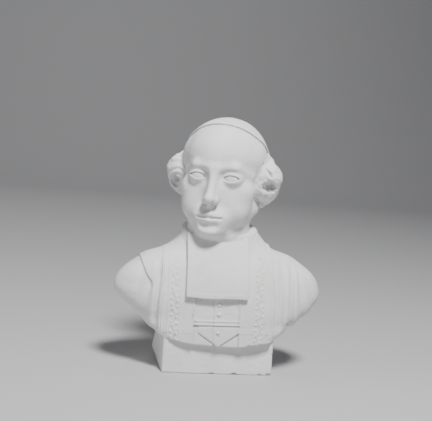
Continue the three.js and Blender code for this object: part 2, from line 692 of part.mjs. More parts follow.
// The bib, a flat panel that leans back to the chin, with its hem's fold a little raised.
function bibGeometry() {
  const place = (r, c, depth) => {
    const t = BIB_UP[r];
    const left = BIB_LEFT[0] + (BIB_LEFT[1] - BIB_LEFT[0]) * t;
    const right = BIB_RIGHT[0] + (BIB_RIGHT[1] - BIB_RIGHT[0]) * t;
    const x = left + (right - left) * BIB_ACROSS[c];
    const off = x - (left + right) / 2;
    const curve = BIB_CURVE + BIB_WRAP * t ** 3;
    const face = BIB_FRONT[0] + (BIB_FRONT[1] - BIB_FRONT[0]) * t ** 1.6 + curve * off * off;
    const inHem = c < 2 || c > 6 || r < 2;
    const bottom = BIB_BOTTOM[0] + (BIB_BOTTOM[1] - BIB_BOTTOM[0]) * BIB_ACROSS[c];
    return [x, depth ?? face - (inHem ? BIB_HEM : 0), bottom + (BIB_TOP - bottom) * t];
  };
  return slab(BIB_UP.length, BIB_ACROSS.length, (r, c) => place(r, c), (r, c) => place(r, c, -18));
}

// A panel on the chest between two edges that may slope, lifted off the torso.
function panelGeometry(rows, columns, place, lift) {
  const outer = (r, c) => onChest(...place(r / (rows - 1), c / (columns - 1)), lift);
  const inner = (r, c) => onChest(...place(r / (rows - 1), c / (columns - 1)), -2);
  return slab(rows, columns, outer, inner);
}

// The pleated front: plain cloth above its hem, a placket, a double hem, and a point below.
function frontGeometries() {
  const between = (a, b, t) => a + (b - a) * t;
  const slope = (x) => POINT_TIP + (POINT_RISE * Math.abs(x - POINT_X)) / POINT_SPREAD;
  const rect = (left, right, low, high) => (r, c) => [between(left, right, c), between(low, high, r)];
  const point = (r, c) => {
    const x = between(POINT_X - POINT_SPREAD, POINT_X + POINT_SPREAD, c);
    return [x, between(slope(x), HEM_TOP, r)];
  };
  const placket = (r, c) => {
    const x = between(PLACKET_X, POINT_X + 8, c);
    return [x, between(slope(x), HEM_BOTTOM, r)];
  };
  return [
    panelGeometry(6, 9, rect(FRONT_LEFT, FRONT_RIGHT, HEM_BOTTOM, FRONT_TOP), 1.1),
    panelGeometry(2, 9, rect(FRONT_LEFT, FRONT_RIGHT, HEM_BOTTOM, HEM_TOP), 1.7),
    panelGeometry(6, 3, rect(PLACKET_X, FRONT_RIGHT, HEM_TOP - 1, FRONT_TOP), 1.6),
    panelGeometry(5, 9, point, 0.6),
    panelGeometry(4, 5, placket, 1.1),
  ];
}

function buttonGeometry(z) {
  const button = new THREE.SphereGeometry(BUTTON_RADIUS, 10, 6);
  const [x, y] = onChest(BUTTON_X, z, 1.3);
  return button.scale(1, 0.7, 1).translate(x, y, z);
}

// The block: a box with its upright edges rounded.
function blockGeometry() {
  const x = BLOCK_WIDTH / 2;
  const y = BLOCK_DEPTH / 2;
  const r = BLOCK_ROUND;
  const plan = new THREE.Shape();
  plan.moveTo(x - r, -y);
  plan.absarc(x - r, -y + r, r, -Math.PI / 2, 0);
  plan.absarc(x - r, y - r, r, 0, Math.PI / 2);
  plan.absarc(-x + r, y - r, r, Math.PI / 2, Math.PI);
  plan.absarc(-x + r, -y + r, r, Math.PI, Math.PI * 1.5);
  plan.closePath();
  return new THREE.ExtrudeGeometry(plan, { depth: BLOCK_TOP, bevelEnabled: false, curveSegments: 3 });
}

// A place from a shift, a turn about the upright and a lean to one side.
function placeAt(shift, turn, lean, order) {
  const angles = new THREE.Euler(0, THREE.MathUtils.degToRad(lean), THREE.MathUtils.degToRad(turn), order);
  const rotation = new THREE.Quaternion().setFromEuler(angles);
  return new THREE.Matrix4().compose(shift, rotation, new THREE.Vector3(1, 1, 1));
}
const headPlace = placeAt(HEAD_CENTRE, HEAD_TURN, HEAD_LEAN, "ZYX");
const bustPlace = placeAt(new THREE.Vector3(...BUST_SHIFT), BUST_TURN, BUST_LEAN, "YZX");

const headGeometry = simplify(sculpt(
  head, gridLines(-72, 72, HEAD_GRID), gridLines(-70, 70, HEAD_GRID), gridLines(-84, 68, HEAD_GRID),
), HEAD_TRIANGLES, (point) => (point.y < -15 ? FACE_WEIGHT : 1));
const torsoGeometry = simplify(sculpt(
  torso, gridLines(-122, 126, TORSO_GRID), gridLines(-64, 56, TORSO_GRID), gridLines(26, 172, TORSO_GRID),
), TORSO_TRIANGLES);
const capGeometry = simplify(sculpt(
  capForm, gridLines(-60, 60, CAP_GRID), gridLines(-60, 72, CAP_GRID), gridLines(-30, 72, CAP_GRID),
), CAP_TRIANGLES);

// The half of space above and behind the cap's edge.
function capSide() {
  const box = new THREE.BoxGeometry(200, 200, 200).translate(0, 0, 100 + CAP_EDGE);
  return box.rotateX(THREE.MathUtils.degToRad(-CAP_TILT));
}

const cap = toSolid(capGeometry).intersect(toSolid(capSide()));
const buttons = BUTTON_HEIGHTS.map(buttonGeometry);
const overlays = [stoleGeometry(), bibGeometry(), ...frontGeometries(), ...buttons];

const bust = overlays
  .reduce((solid, overlay) => solid.add(toSolid(overlay)), toSolid(torsoGeometry))
  .add(toSolid(headGeometry, headPlace))
  .add(cap.transform(headPlace.toArray()))
  .transform(bustPlace.toArray())
  .add(toSolid(blockGeometry()));

// The outer shell alone, so that the pockets closed in between stole, collar and neck are filled.
const cast = bust.decompose().reduce((a, b) => (a.volume() > b.volume() ? a : b));

const plaster = new THREE.MeshStandardMaterial({ color: 0xdcdcda, roughness: 0.85, metalness: 0 });
const figureGeometry = dropShortEdges(toGeometry(cast), SHORTEST_EDGE);
figureGeometry.computeVertexNormals();
const figure = new THREE.Mesh(figureGeometry, plaster);
figure.name = "bust";

const group = new THREE.Group();
group.add(figure);

export default group;
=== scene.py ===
"""A plaster bust of a churchman in skull cap, bib and stole, cast in one with its block.

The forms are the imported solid's own, in the same frame, drawn again as distance fields on a fine
lattice, with the stole's ornament, the hems, buttons, strands of hair, pits and chips added.
Lengths are in millimetres until the mesh is made. Points are arrays of three rows: x, y and z.
"""
import math

import bpy
import numpy as np
from mathutils import Matrix, Vector


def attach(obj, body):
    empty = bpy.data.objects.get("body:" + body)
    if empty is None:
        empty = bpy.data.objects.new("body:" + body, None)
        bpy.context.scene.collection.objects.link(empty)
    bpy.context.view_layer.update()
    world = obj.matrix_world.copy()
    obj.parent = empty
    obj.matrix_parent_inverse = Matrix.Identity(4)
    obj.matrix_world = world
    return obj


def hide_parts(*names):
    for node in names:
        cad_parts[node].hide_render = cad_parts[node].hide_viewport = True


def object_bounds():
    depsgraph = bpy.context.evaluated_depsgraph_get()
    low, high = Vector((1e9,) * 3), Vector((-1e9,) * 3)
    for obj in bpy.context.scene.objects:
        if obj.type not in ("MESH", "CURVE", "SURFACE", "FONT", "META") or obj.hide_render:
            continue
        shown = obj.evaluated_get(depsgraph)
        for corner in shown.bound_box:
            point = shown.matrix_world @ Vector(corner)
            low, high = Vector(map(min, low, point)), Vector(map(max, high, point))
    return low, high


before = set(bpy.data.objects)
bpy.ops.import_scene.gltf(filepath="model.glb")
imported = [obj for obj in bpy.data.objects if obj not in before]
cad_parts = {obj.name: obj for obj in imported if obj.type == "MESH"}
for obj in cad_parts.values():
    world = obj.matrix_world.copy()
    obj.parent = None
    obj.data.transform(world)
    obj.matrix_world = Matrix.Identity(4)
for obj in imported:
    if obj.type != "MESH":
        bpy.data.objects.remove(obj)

solid_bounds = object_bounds()

MM = 0.001

# The block, and how the bust sits on it.
BLOCK_WIDTH = 122.5
BLOCK_DEPTH = 80
BLOCK_TOP = 46
BLOCK_ROUND = 2
MIDLINE = -3.4
BUST_SHIFT = (1.1, 0, 0.9)
BUST_TURN = -2.8
BUST_LEAN = -1.9

# Half-widths and half-depths of the draped shoulders, as (height, size) pairs.
SHOULDER_WIDTH = (
    (28, 64.5), (38, 67.3), (45, 75.1), (54, 85), (63, 95.4), (71, 105.6), (80, 114.2), (90, 116.6),
    (103, 111.7), (115, 99.3), (126, 81.7), (133, 61.5), (142, 48.6), (153, 43), (168, 38.5),
)
CHEST_DEPTH = ((28, 46.5), (60, 48.5), (90, 48), (115, 43), (130, 37), (145, 34), (168, 31))
BACK_DEPTH = ((28, 38), (60, 42), (90, 44), (115, 40), (130, 34), (145, 30), (168, 27))
SHOULDER_CENTRE = (
    (45, 2.3), (54, 2), (62, 4.4), (71, 3.6), (80, 2.3), (90, 0.6), (103, 0), (115, -0.4),
    (133, 2), (142, 1), (153, 1),
)
SHOULDER_POWER = ((30, 5.2), (42, 4.4), (56, 3.2), (75, 2.5), (95, 2.25))
RIM = (
    (-80, 53), (-70, 46), (-60, 40.5), (-43.5, 36.8), (-21.5, 32.8), (0, 31.1), (22, 31),
    (43.7, 34), (60, 36.6), (70, 42.6), (77, 50),
)
COLLAR_TOP = 157
COLLAR_SLOPE = 0.2
CAPE_EDGE = ((45, -80), (68, -78.2), (88, -75), (99, -73.7), (106, -78.8), (115, -83), (124, -87))
CAPE_THICKNESS = 2.4

# The stole: each stop holds a point of its inner edge and of its outer edge, by half from the
# midline, and the last stop is at the nape.
STOLE_STOPS = (
    (25, -50, 31.5, 62.5, -44, 37), (25, -50, 45, 63.5, -44, 45), (24.6, -50, 62, 63.5, -44, 62),
    (24.4, -50, 80, 63, -44, 80), (26, -48, 98, 61.5, -42, 98), (29, -42, 116, 60, -36, 114),
    (34, -32, 133, 58.5, -24, 127), (40, -16, 146, 58, -8, 134), (40, 6, 150, 58, 12, 131),
    (32, 22, 151, 52, 28, 120), (18, 28, 151, 36, 38, 104), (0, 30, 151, 0, 42, 92),
)
STOLE_RELIEF = 1.5
STOLE_CORD = 0.9
STOLE_FLATTER = 0.7
SPRIG_PITCH = 9.0
SPRIG_HEIGHT = 1.1

# The bib.
BIB_BOTTOM = (86, 84.4)
BIB_TOP = 152
BIB_LEFT = (-37.6, -36.5)
BIB_RIGHT = (29.6, 30)
BIB_FRONT = (-55.5, -34)
BIB_CURVE = 0.0016
BIB_WRAP = 0.008
BIB_HEM = 0.3

# The buttoned front.
FRONT_LEFT = -28.6
FRONT_RIGHT = 21.8
PLACKET_X = -6.3
HEM_TOP = 59.3
HEM_BOTTOM = 55
POINT_X = -0.5
POINT_TIP = 31
POINT_SPREAD = 22
POINT_RISE = 15.8
BUTTON_X = -1.3
BUTTON_HEIGHTS = (77.5, 67.5, 47.2)
BUTTON_RADIUS = 1.9

# The head, in its own frame: origin at the eyes' level between the ears, face towards -Y.
# The curls are given by their centres.
HEAD_CENTRE = (3, -1, 214.5)
HEAD_TURN = -20
HEAD_LEAN = 3
FACE_SCALE = 1.09
NECK_END = -79
EYE_X = 16.2
BROW = 8
NOSE_BASE = -27.5
NOSE_TIP = -61.5
MOUTH = -39
CHIN = -60
HAIR_DROP = 1.1
CURLS = ((48, 11, -18.5), (46, 10.5, -24), (41.5, 9, -28), (37, 8, -31.5))
CAP_THICKNESS = 1.6
CAP_EDGE = 28.7
CAP_TILT = 38

# The lattice's step, the steps in a side of its blocks, how far from the surface a block still
# gets exact values, and the triangles that are kept.
STEP = 0.7
BLOCK_OF_STEPS = 4
EXACT_WITHIN = 2.0
TRIANGLES = 196000

# The camera, at the photograph's place: metres and degrees.
CAMERA_AT = (-0.1880, -0.9839, 0.2642)
CAMERA_AZIMUTH = -10.35
CAMERA_PITCH = 5.07
CAMERA_ROLL = 4.72
CAMERA_LENS = 75

# The floor, in metres: half its width, how far it runs to the front, where its sweep up to the
# wall begins, the sweep's radius, and the wall's height.
FLOOR_HALF_WIDTH = 9.0
FLOOR_FRONT = -7.0
SWEEP_START = 2.5
SWEEP_RADIUS = 1.5
WALL_HEIGHT = 6.0


def smoothstep(low, high, v):
    t = np.clip((v - low) / (high - low), 0, 1)
    return t * t * (3 - 2 * t)


def bump(v, centre, half_width):
    return np.exp(-(((v - centre) / half_width) ** 2))


def join(a, b, k):
    """Two distance fields as one, with a fillet of size k."""
    h = np.maximum(k - np.abs(a - b), 0) / k
    return np.minimum(a, b) - h * h * k / 4


def meet(a, b, k):
    return -join(-a, -b, k)


def carve(a, b, k):
    return meet(a, -b, k)


def profile(pairs, at):
    """A smooth curve through (position, value) pairs."""
    places, values = np.array(pairs, float).T
    ahead = np.append(np.arange(1, len(places)), len(places) - 1)
    behind = np.append(0, np.arange(len(places) - 1))
    slopes = (values[ahead] - values[behind]) / (places[ahead] - places[behind])
    i = np.clip(np.searchsorted(places, at, side="right") - 1, 0, len(places) - 2)
    span = places[i + 1] - places[i]
    t = np.clip((at - places[i]) / span, 0, 1)
    rise = values[i + 1] - values[i]
    m0 = slopes[i] * span
    m1 = slopes[i + 1] * span
    return values[i] + m0 * t + (3 * rise - 2 * m0 - m1) * t * t + (m0 + m1 - 2 * rise) * t ** 3


def ellipsoid(p, centre, radii):
    """The distance from an ellipsoid, near enough to blend well."""
    u, v, w = ((p[i] - centre[i]) / radii[i] for i in range(3))
    k = np.sqrt(u * u + v * v + w * w)
    g = np.sqrt((u / radii[0]) ** 2 + (v / radii[1]) ** 2 + (w / radii[2]) ** 2)
    return k * (k - 1) / np.maximum(g, 1e-9)


def limb(p, a, b, ra, rb):
    """The distance from a round bar from a to b, whose radius goes from ra to rb."""
    d = [b[i] - a[i] for i in range(3)]
    q = [p[i] - a[i] for i in range(3)]
    t = np.clip((q[0] * d[0] + q[1] * d[1] + q[2] * d[2]) / sum(s * s for s in d), 0, 1)
    return np.sqrt(sum((q[i] - t * d[i]) ** 2 for i in range(3))) - (ra + t * (rb - ra))


def waver(p, size, seed, waves=6):
    """A smooth unevenness between about -1 and 1, with features of the given size."""
    rng = np.random.default_rng(seed)
    total = np.zeros_like(p[0])
    for _ in range(waves):
        way = rng.normal(size=3)
        way *= 2 * math.pi / (size * rng.uniform(0.8, 1.5) * np.linalg.norm(way))
        total += np.sin(way[0] * p[0] + way[1] * p[1] + way[2] * p[2] + rng.uniform(0, 6.3))
    return total / math.sqrt(2 * waves)


def turned(p, centre, rotation):
    """Points of an outer frame, seen from a frame that stands at a centre and is turned."""
    return rotation.T @ (p - np.array(centre, float)[:, None])


def rotation(order, **degrees):
    """The product of turns about the axes, in the given order."""
    product = Matrix.Identity(3)
    for axis in order:
        product = product @ Matrix.Rotation(math.radians(degrees[axis]), 3, axis)
    return np.array(product)


BUST_ROTATION = rotation("YZ", Y=BUST_LEAN, Z=BUST_TURN)
HEAD_ROTATION = rotation("ZY", Z=HEAD_TURN, Y=HEAD_LEAN)


def smooth_path(stops, count):
    """Points at even steps of a smooth curve through the stops."""
    where = np.linspace(0, len(stops) - 1, count)
    pairs = [list(enumerate(column)) for column in zip(*stops)]
    return np.array([profile(pair, where) for pair in pairs])


class StoleMap:
    """How far across the stole, and how far along it, each place near it lies.

    Worked out on a loose lattice round one half of the stole, from the nearest of many rungs
    between its edges, and read between the lattice's points."""

    def __init__(self, spacing=2.0, rungs=150):
        path = smooth_path(STOLE_STOPS, rungs)
        inner, outer = path[:3], path[3:]
        middle = (inner + outer) / 2
        lengths = np.append(0, np.cumsum(np.linalg.norm(np.diff(middle), axis=0)))
        self.spacing = spacing
        self.low = np.array([-4.0, -64.0, 26.0])
        counts = np.ceil((np.array([76.0, 56.0, 162.0]) - self.low) / spacing).astype(int)
        lattice = np.indices(counts).reshape(3, -1) * spacing + self.low[:, None]
        nearest = np.full(lattice.shape[1], np.inf)
        across = np.zeros(lattice.shape[1])
        along = np.zeros(lattice.shape[1])
        for rung in range(rungs):
            a = inner[:, rung, None]
            d = outer[:, rung, None] - a
            t = ((lattice - a) * d).sum(0) / (d * d).sum()
            inside = np.clip(t, 0, 1)
            gap = np.linalg.norm(lattice - a - inside * d, axis=0)
            closer = gap < nearest
            nearest[closer] = gap[closer]
            across[closer] = t[closer]
            along[closer] = lengths[rung]
        self.across = across.reshape(counts)
        self.along = along.reshape(counts)
        self.gap = nearest.reshape(counts)

    def read(self, p):
        half = np.array([np.abs(p[0] - MIDLINE), p[1], p[2]])
        place = (half - self.low[:, None]) / self.spacing
        top = np.array(self.across.shape)[:, None] - 2
        i = np.clip(np.floor(place).astype(int), 0, top)
        t = np.clip(place - i, 0, 1)
        found = [np.zeros(p.shape[1]) for _ in range(3)]
        for corner in np.ndindex(2, 2, 2):
            weight = 1.0
            for axis in range(3):
                weight = weight * (t[axis] if corner[axis] else 1 - t[axis])
            at = tuple(i[axis] + corner[axis] for axis in range(3))
            for total, grid in zip(found, (self.across, self.along, self.gap)):
                total += weight * grid[at]
        return found


STOLE = StoleMap()


def sprigs(off, s, side):
    """The embroidered strip: paired leaves on a waving stem, with a berry between them.

    off and s are millimetres across from the strip's middle and along it."""
    stem = 1.6 * np.sin(math.pi * s / SPRIG_PITCH + side)
    height = 0.7 * bump(off, stem, 0.55)
    cell = np.floor(s / SPRIG_PITCH)
    t = s - (cell + 0.5) * SPRIG_PITCH
    way = 1 - 2 * (cell % 2)
    for lean in (-1, 1):
        u = t - lean * 1.7
        v = off * way - 2.0
        long = 0.8 * u + 0.6 * lean * v
        wide = -0.6 * lean * u + 0.8 * v
        leaf = bump(long, 0.4 * lean, 2.0) * bump(wide, 0, 0.85)
        height = np.maximum(height, leaf * (1 - 0.35 * bump(wide, 0, 0.28)))
    berry = bump(np.hypot(t, off * way + 3.1), 0, 1.05)
    return np.maximum(height, berry)


def stole_relief(p):
    """How far the stole stands out: plain cloth, a sprig strip with a cord to each side, and
    a border of two twisted cords, with one seam across near each end."""
    across, along, gap = STOLE.read(p)
    side = np.where(p[0] < MIDLINE, 0.0, 1.3)
    near = 1 - smoothstep(5.5, 7.5, gap)
    band = smoothstep(-0.012, 0.014, across) * (1 - smoothstep(0.985, 1.012, across)) * near
    twist = 1 + 0.12 * np.sin(2 * math.pi * (along / 2.6 + across * 9))
    border = (bump(across, 0.885, 0.026) + bump(across, 0.955, 0.026)) * twist
    cords = 0.55 * (bump(across, 0.385, 0.014) + bump(across, 0.72, 0.014))
    strip = smoothstep(0.405, 0.43, across) * (1 - smoothstep(0.675, 0.70, across))
    leaves = SPRIG_HEIGHT * strip * sprigs((across - 0.5525) * 35, along, side)
    seam = smoothstep(0, 0.03, across) * (1 - smoothstep(0.83, 0.85, across))
    hem = 0.35 * seam * (bump(along, 12.5, 0.5) + 0.6 * bump(along, 15.5, 0.5)) * (1 - strip)
    inner_hem = 0.25 * bump(across, 0.03, 0.022)
    flatter = 1 - STOLE_FLATTER * smoothstep(114, 126, p[2]) * (p[0] < 0)
    return band * flatter * (STOLE_RELIEF + STOLE_CORD * border + cords + leaves + hem + inner_hem)


def folds(p):
    """Soft folds of the sleeves and cape beside the stole, and a few down the back."""
    x, y, z = p
    front = smoothstep(40, 60, z) * (1 - smoothstep(106, 124, z)) * (1 - smoothstep(-12, 4, y))
    back = smoothstep(34, 50, z) * (1 - smoothstep(96, 122, z)) * smoothstep(0, 16, y)
    slack = 1.1 * bump(x, -84 + 0.35 * (z - 80), 4) - 0.8 * bump(x, -92 + 0.3 * (z - 80), 4)
    slack += 0.7 * bump(x, 99 - 0.3 * (z - 80), 5) - 0.6 * bump(x, 106 - 0.35 * (z - 80), 4)
    pleats = np.cos(x / (5.5 + 0.02 * (100 - z))) * smoothstep(20, 45, np.abs(x - MIDLINE))
    return front * slack + 0.8 * back * pleats


def drapery(p):
    """How far the plain clothes stand out from the form of the shoulders."""
    x, y, z = p
    hang = smoothstep(40, 60, z) * (1 - smoothstep(106, 124, z)) * (1 - smoothstep(-12, 4, y))
    soft = 0.9 + 1.6 * smoothstep(100, 84, z)
    cape = CAPE_THICKNESS * smoothstep(-soft, soft, x - profile(CAPE_EDGE, z))
    left = cape - CAPE_THICKNESS - 2.2 * hang * bump(x, -67.5 + 0.06 * (z - 80), 3)
    left += 1.6 * hang * bump(x, -72.5 + 0.05 * (z - 80), 2.6)
    right = 1.7 * bump(x, 74, 3) - 1.9 * bump(x, 79.5, 2.6) + 1.4 * bump(x, 85, 3)
    right -= 1.6 * bump(x, 91 - 0.1 * (z - 80), 3.4) + 2.2 * bump(x, 67, 2.6)
    arms = 2.2 * bump(np.abs(x), 92, 17) * hang
    return arms + np.where(x < 0, left, hang * right)


def point_edge(x):
    """The height of the front's pointed lower edge."""
    return POINT_TIP + POINT_RISE * np.abs(x - POINT_X) / POINT_SPREAD


def front_relief(p):
    """The buttoned front between the stole's bands: placket, double hem, point, buttonholes, and
    the grooves beside them."""
    x, y, z = p
    inside = smoothstep(FRONT_LEFT - 0.4, FRONT_LEFT + 0.4, x)
    inside = inside * (1 - smoothstep(FRONT_RIGHT - 0.4, FRONT_RIGHT + 0.4, x)) * (y < 0)
    upper = smoothstep(HEM_BOTTOM - 0.4, HEM_BOTTOM + 0.4, z + 0.012 * (x + 3))
    hem = bump(z, HEM_TOP + 0.6, 0.8) + bump(z, HEM_BOTTOM + 0.9, 0.8)
    point = smoothstep(-0.5, 0.5, z - point_edge(x))
    near = smoothstep(POINT_SPREAD + 0.5, POINT_SPREAD - 0.5, np.abs(x - POINT_X))
    placket = smoothstep(PLACKET_X - 0.35, PLACKET_X + 0.35, x)
    holes = sum(bump(z, h - 0.4, 0.35) for h in BUTTON_HEIGHTS) * smoothstep(4.5, 5.5, x)
    holes = holes * (1 - smoothstep(11, 12, x))
    gathers = 0.3 * np.sin(z / 1.9 + 0.25 * x) * smoothstep(-24, -31, x) * smoothstep(60, 68, z)
    crease = 0.7 * bump(z, HEM_TOP + 3.2 - 0.5 * (x - FRONT_LEFT), 0.9) * bump(x, FRONT_LEFT + 2.5, 3)
    relief = upper * (1.1 + 0.5 * placket) + 0.6 * hem * upper + crease
    relief = relief + (1 - upper) * near * point * (0.8 + 0.4 * placket)
    grooves = 0.8 * bump(z, HEM_BOTTOM - 0.8, 0.7) + 0.5 * bump(x, PLACKET_X - 0.6, 0.5)
    grooves = grooves + 0.6 * near * (1 - upper) * bump(z, point_edge(x) - 0.9, 0.7)
    hollow = 0.4 * (1 - upper) * (1 - near * point) * smoothstep(24, 27, np.abs(x - MIDLINE + 3))
    return inside * (relief - 0.5 * holes * placket + gathers - grooves - hollow)


def body_form(p):
    """The shoulders as a superellipse at each height, as a distance."""
    x, y, z = p
    width = profile(SHOULDER_WIDTH, z)
    front = y < 0
    chest = profile(CHEST_DEPTH, z)
    back = profile(BACK_DEPTH, z)
    depth = np.where(front, chest, back)
    power = profile(SHOULDER_POWER, z)
    u = np.abs(x - profile(SHOULDER_CENTRE, z)) / width
    v = np.abs(y) / depth
    around = np.maximum((u ** power + v ** power) ** (1 / power), 0.05)
    widening = (profile(SHOULDER_WIDTH, z + 0.5) - profile(SHOULDER_WIDTH, z - 0.5)) / width
    chest_change = profile(CHEST_DEPTH, z + 0.5) - profile(CHEST_DEPTH, z - 0.5)
    back_change = profile(BACK_DEPTH, z + 0.5) - profile(BACK_DEPTH, z - 0.5)
    deepening = np.where(front, chest_change, back_change) / depth
    sideways = u ** (power - 1) / width
    forward = v ** (power - 1) / depth
    upward = u ** power * widening + v ** power * deepening
    slope = np.sqrt(sideways ** 2 + forward ** 2 + upward ** 2) * around ** (1 - power)
    return (around - 1) / np.maximum(slope, 0.008)


def torso(p):
    """The dressed shoulders, from the underside to the collar's sloping rim."""
    x, y, z = p
    surface = body_form(p) - drapery(p) - folds(p) - stole_relief(p) - front_relief(p)
    floor = profile(RIM, x) + 0.4 * waver(p, 26, 3)
    notch = limb(p, (73.5, -37, 57), (84, -34, 51), 3, 2.2)
    rim = z - COLLAR_TOP - COLLAR_SLOPE * y
    cut = meet(meet(surface, floor - z, 1.5), rim, 1.5)
    return carve(cut, notch, 1)


def bib(p):
    """The flat bib, which leans back to the chin, with its hem a little raised."""
    x, y, z = p
    t = np.clip((z - BIB_BOTTOM[0]) / (BIB_TOP - BIB_BOTTOM[0]), 0, 1)
    left = BIB_LEFT[0] + (BIB_LEFT[1] - BIB_LEFT[0]) * t
    right = BIB_RIGHT[0] + (BIB_RIGHT[1] - BIB_RIGHT[0]) * t
    across = np.clip((x - left) / (right - left), 0, 1)
    off = x - (left + right) / 2
    bottom = BIB_BOTTOM[0] + (BIB_BOTTOM[1] - BIB_BOTTOM[0]) * across + 0.5 * np.sin(x / 9)
    edge = np.minimum(np.minimum(x - left, right - x), z - bottom)
    hem = BIB_HEM * (1 - smoothstep(4.4, 5.0, edge)) + 0.25 * bump(edge, 4.8, 0.4)
    sag = 0.5 * bump(z, BIB_BOTTOM[0] + 4, 14) * np.sin((x + 12) / 11)
    curve = BIB_CURVE + BIB_WRAP * t ** 3
    face = BIB_FRONT[0] + (BIB_FRONT[1] - BIB_FRONT[0]) * t ** 1.6 + curve * off * off - sag
    sheet = meet(meet(left - x, x - right, 1), meet(bottom - z, z - BIB_TOP, 1), 0.8)
    return meet(meet(sheet, face - hem - y, 0.9), y + 18, 1)


def chest_y(x, z):
    """The chest's front at a place, found by halving."""
    outside, inside = -80.0, -2.0
    for _ in range(24):
        middle = (outside + inside) / 2
        if torso(np.array([[x], [middle], [z]], float))[0] > 0:
            outside = middle
        else:
            inside = middle
    return inside


BUTTON_PLACES = [(BUTTON_X, chest_y(BUTTON_X, z), z) for z in BUTTON_HEIGHTS]


def button(p, place):
    """A domed button with a groove round it and a dimple."""
    x, y, z = place
    dome = ellipsoid(p, place, (BUTTON_RADIUS, 1.5, BUTTON_RADIUS))
    return carve(dome, ellipsoid(p, (x, y - 1.7, z), (0.6, 0.6, 0.6)), 0.4)


def clothes(p):
    d = join(torso(p), bib(p), 0.5)
    for place in BUTTON_PLACES:
        d = join(d, button(p, place), 0.4)
    return d


def face_ground(q):
    """Brow, cheeks, jaw and throat. Forms off the middle come as mirrored pairs."""
    d = ellipsoid(q, (0, -10, 19), (36, 37, 33))
    d = join(d, ellipsoid(q, (0, -7, -12), (35.5, 38, 38)), 9)
    d = join(d, ellipsoid(q, (24, -25, -13), (12, 12, 11)), 10)
    d = join(d, ellipsoid(q, (16.5, -24, -31), (17.5, 17, 17)), 10)
    d = join(d, limb(q, (30, 2, -30), (8, -32, -49), 9, 8.5), 10)
    d = join(d, ellipsoid(q, (0, -39.5, CHIN + 9), (13, 13, 9)), 8)
    return join(d, ellipsoid(q, (0, -14, CHIN + 1), (27, 22, 13)), 9)


def cranium(q):
    return ellipsoid(q, (0, 8, 19.5), (44, 50, 43))


def neck(q):
    return limb(q, (5, 1, -50), (5, -1, -85), 29, 32)


def brow(q, d):
    d = join(d, limb(q, (4, -44.2, BROW), (19, -39.6, BROW + 2), 3.2, 2.8), 7)
    d = join(d, limb(q, (19, -39.6, BROW + 2), (32, -21, BROW - 5), 2.8, 2), 7)
    return carve(d, ellipsoid(q, (EYE_X, -50.5, 0.5), (12, 9, 7.5)), 6)


def eye(q, d):
    """An eyeball under two lids that leave an almond between them."""
    centre = (EYE_X, -34.8, -0.5)
    u = (q[0] - EYE_X) / 8.6
    open_by = np.maximum(0, 1 - u * u)
    above = q[2] - 3.4 * open_by ** 0.75 - 0.6 * u
    below = -2.9 * open_by + 0.3 * u - q[2]
    lids = carve(ellipsoid(q, centre, (11.2, 10.4, 9.8)), np.maximum(above, below), 0.6)
    d = join(d, lids, 2.5)
    d = join(d, ellipsoid(q, centre, (9.4, 8.9, 8.9)), 0.3)
    return carve(d, limb(q, (12, -47.5, 6.6), (22, -46, 6), 1, 0.8), 2)


def nose(q, d):
    d = join(d, limb(q, (0, -43.8, 8), (0, NOSE_TIP + 8.6, -14), 3.3, 3.6), 7)
    d = join(d, limb(q, (0, -38, -2), (0, -46, -19), 5.4, 6.6), 6)
    d = join(d, ellipsoid(q, (0, NOSE_TIP + 5, -20.5), (4.9, 5, 4.7)), 5)
    d = join(d, ellipsoid(q, (5, -50.3, -22.2), (3.3, 5.2, 4)), 2.5)
    d = join(d, limb(q, (0, NOSE_TIP + 5.6, -23.5), (0, -49, NOSE_BASE + 1), 1.9, 2.6), 2.5)
    return carve(d, ellipsoid(q, (3.4, -53, NOSE_BASE + 0.8), (1.7, 3.2, 1.8)), 1.2)


def lips(q, d):
    d = join(d, ellipsoid(q, (0, -38.8, MOUTH - 0.5), (17, 12.5, 11)), 8)
    d = join(d, limb(q, (1.6, -49.8, MOUTH + 2.7), (12, -45.6, MOUTH + 0.8), 2.7, 1.3), 2.5)
    d = join(d, limb(q, (0, -49.7, MOUTH - 3.2), (9.5, -46.4, MOUTH - 2), 3.5, 1.9), 2.5)
    d = carve(d, limb(q, (0, -52.9, MOUTH), (13, -47.6, MOUTH - 0.2), 1.5, 1), 1.2)
    d = carve(d, limb(q, (0, -53.4, MOUTH - 9.6), (7, -51, MOUTH - 9), 3, 2.2), 5)
    return carve(d, limb(q, (0, -53.6, NOSE_BASE - 2.5), (0, -54.9, MOUTH + 6.8), 1.4, 1.5), 2)


def ear(q, d):
    """An ear, of which the hair leaves the middle bare."""
    form = ellipsoid(q, (43, 5, -12), (6, 9, 13))
    form = carve(form, ellipsoid(q, (48.5, 2.5, -12), (5.4, 5.6, 8.5)), 1.5)
    return join(d, form, 2)


def temple(q):
    """The close hair of a temple, between the bare forehead and the cap."""
    return ellipsoid(q, (32.5, -4, 21.5), (12.5, 17.5, 17))


